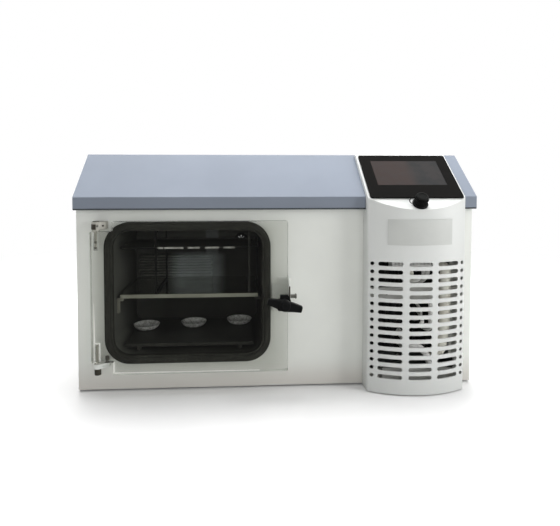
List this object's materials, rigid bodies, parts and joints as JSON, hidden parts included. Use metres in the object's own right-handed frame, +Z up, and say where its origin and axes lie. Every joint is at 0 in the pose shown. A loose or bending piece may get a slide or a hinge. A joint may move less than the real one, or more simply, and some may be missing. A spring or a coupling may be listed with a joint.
{
  "type": "freeze dryer",
  "caption": "Benchtop freeze dryer with a sloping lid, a shelved vacuum chamber behind a thick clear acrylic door, and a bowed slotted column carrying a tilted touch screen.",
  "frame": {"origin": "middle of the base of the bounding box, on the bench under the feet", "axes": "+X to the right seen from the front, +Y to the rear, +Z up; the front with the door and the screen faces -Y"},
  "size_m": [0.866, 0.6404, 0.5147],
  "materials": {
    "acrylic": "clear, polished",
    "black_enamel": "gloss enamel",
    "black_plastic": "satin",
    "black_rubber": "matt",
    "blue_paint": "fine satin powder coat",
    "column_white": "smooth satin",
    "copper": "drawn tube",
    "dark_glass": "gloss",
    "dark_steel": "satin",
    "foam_grey": "matt closed-cell foam",
    "galvanised": "zinc plated",
    "nylon": "natural",
    "plate_grey": "satin",
    "steel": "satin",
    "white_paint": "fine satin powder coat"
  },
  "bodies": {
    "cabinet": {"base_pan": "galvanised", "foot_1": "black_rubber", "foot_2": "black_rubber", "foot_3": "black_rubber", "foot_4": "black_rubber", "front_panel": "white_paint", "left_side_panel": "white_paint", "right_side_panel": "white_paint", "rear_panel": "white_paint", "top_lid": "blue_paint", "column_cover": "column_white", "badge_plate": "plate_grey", "touch_bezel": "black_plastic", "touch_glass": "dark_glass", "port_socket": "black_plastic", "cap_tether": "black_rubber", "chamber_shell": "dark_steel", "chamber_insulation": "foam_grey", "door_gasket": "black_rubber", "lower_shelf": "dark_steel", "middle_shelf": "steel", "upper_shelf": "steel", "rack_frame_left": "steel", "rack_frame_right": "steel", "shelf_ledge_left": "steel", "shelf_ledge_right": "steel", "sample_dish_1": "steel", "sample_dish_2": "steel", "sample_dish_3": "steel", "cooling_coil": "steel", "upper_hinge_bracket": "steel", "lower_hinge_bracket": "steel", "upper_hinge_pin": "steel", "lower_hinge_pin": "steel", "upper_hinge_washer": "nylon", "lower_hinge_washer": "nylon", "latch_bracket": "steel", "latch_peg": "steel", "condenser": "galvanised", "fan_shroud": "galvanised", "fan_motor": "black_enamel", "compressor": "black_enamel", "filter_drier": "copper", "discharge_pipe": "copper", "suction_pipe": "copper", "control_box": "galvanised", "vacuum_pipe": "steel", "vacuum_port": "steel", "mains_inlet": "black_plastic", "switch_frame": "black_plastic", "drain_valve": "steel", "drain_tube": "nylon"},
    "door": {"acrylic_door": "acrylic", "latch_bush": "black_plastic"},
    "knob": {"t_knob": "black_plastic", "latch_stud": "steel"},
    "cap": {"port_cap": "black_rubber"},
    "fan": {"fan_rotor": "black_plastic"},
    "rocker": {"power_rocker": "black_plastic"},
    "tap": {"drain_lever": "black_plastic"}
  },
  "joints": [
    {"name": "door_swing", "type": "hinge", "parent": "cabinet", "child": "door", "pos_m": [-0.384, -0.26682, 0.209], "axis": [0, 0, -1], "range_deg": [0, 150]},
    {"name": "knob_turn", "type": "hinge", "parent": "door", "child": "knob", "pos_m": [0.008, -0.26682, 0.196], "axis": [0, -1, 0], "range_deg": [0, 270]},
    {"name": "cap_turn", "type": "hinge", "parent": "cabinet", "child": "cap", "pos_m": [0.2935, -0.2898, 0.39734], "axis": [0, -0.6293, 0.7771], "range_deg": [0, 90]},
    {"name": "fan_spin", "type": "hinge", "parent": "cabinet", "child": "fan", "pos_m": [0.2935, -0.13552, 0.165], "axis": [0, 1, 0], "continuous": true},
    {"name": "rocker_tilt", "type": "hinge", "parent": "cabinet", "child": "rocker", "pos_m": [0.26, 0.29348, 0.07], "axis": [-1, 0, 0], "range_deg": [0, 18]},
    {"name": "drain_turn", "type": "hinge", "parent": "cabinet", "child": "tap", "pos_m": [-0.195, 0.30408, 0.05], "axis": [0, 0, 1], "range_deg": [0, 90]}
  ]
}
